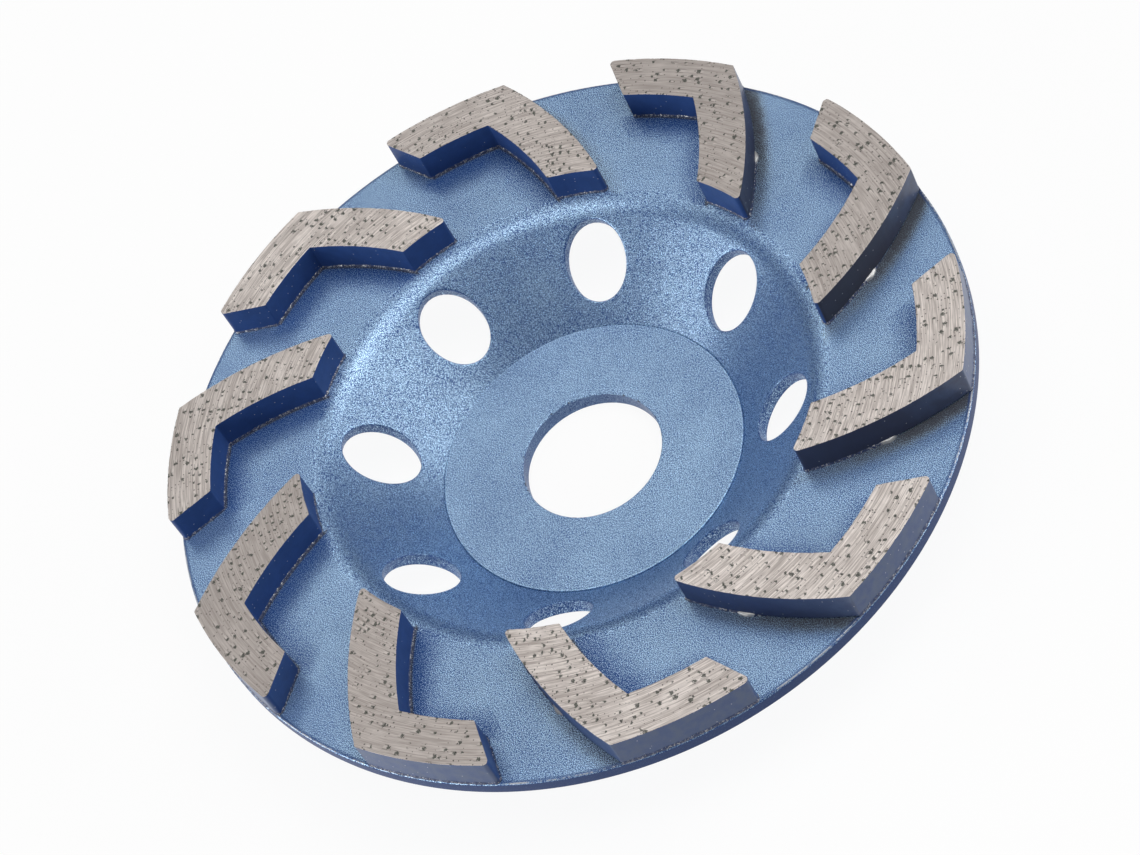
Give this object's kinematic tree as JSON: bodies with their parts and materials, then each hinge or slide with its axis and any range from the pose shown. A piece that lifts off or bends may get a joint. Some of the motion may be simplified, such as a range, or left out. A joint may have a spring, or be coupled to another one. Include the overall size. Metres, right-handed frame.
{
  "type": "diamond cup wheel",
  "caption": "Shallow pressed steel cup with a flat hub, centre bore, vented cone and L-shaped diamond segments brazed on its rim flange, for grinding concrete and stone.",
  "frame": {"origin": "centre of the hub's flat back face, on the spindle axis", "axes": "+Z along the spindle axis, from the hub's back to the grinding faces of the segments; +X through the middle of a vent hole"},
  "size_m": [0.125, 0.125, 0.0206],
  "materials": {
    "blue_paint": "metallic light blue paint with fine sparkle, satin",
    "diamond_bond": "sintered metal bond, ground on top with fine scratches and dark diamond grit, dark blue paint on its side walls"
  },
  "bodies": {
    "root": {"cup_body": "blue_paint", "diamond_segment_01": "diamond_bond", "diamond_segment_02": "diamond_bond", "diamond_segment_03": "diamond_bond", "diamond_segment_04": "diamond_bond", "diamond_segment_05": "diamond_bond", "diamond_segment_06": "diamond_bond", "diamond_segment_07": "diamond_bond", "diamond_segment_08": "diamond_bond", "diamond_segment_09": "diamond_bond", "diamond_segment_10": "diamond_bond"}
  },
  "joints": []
}
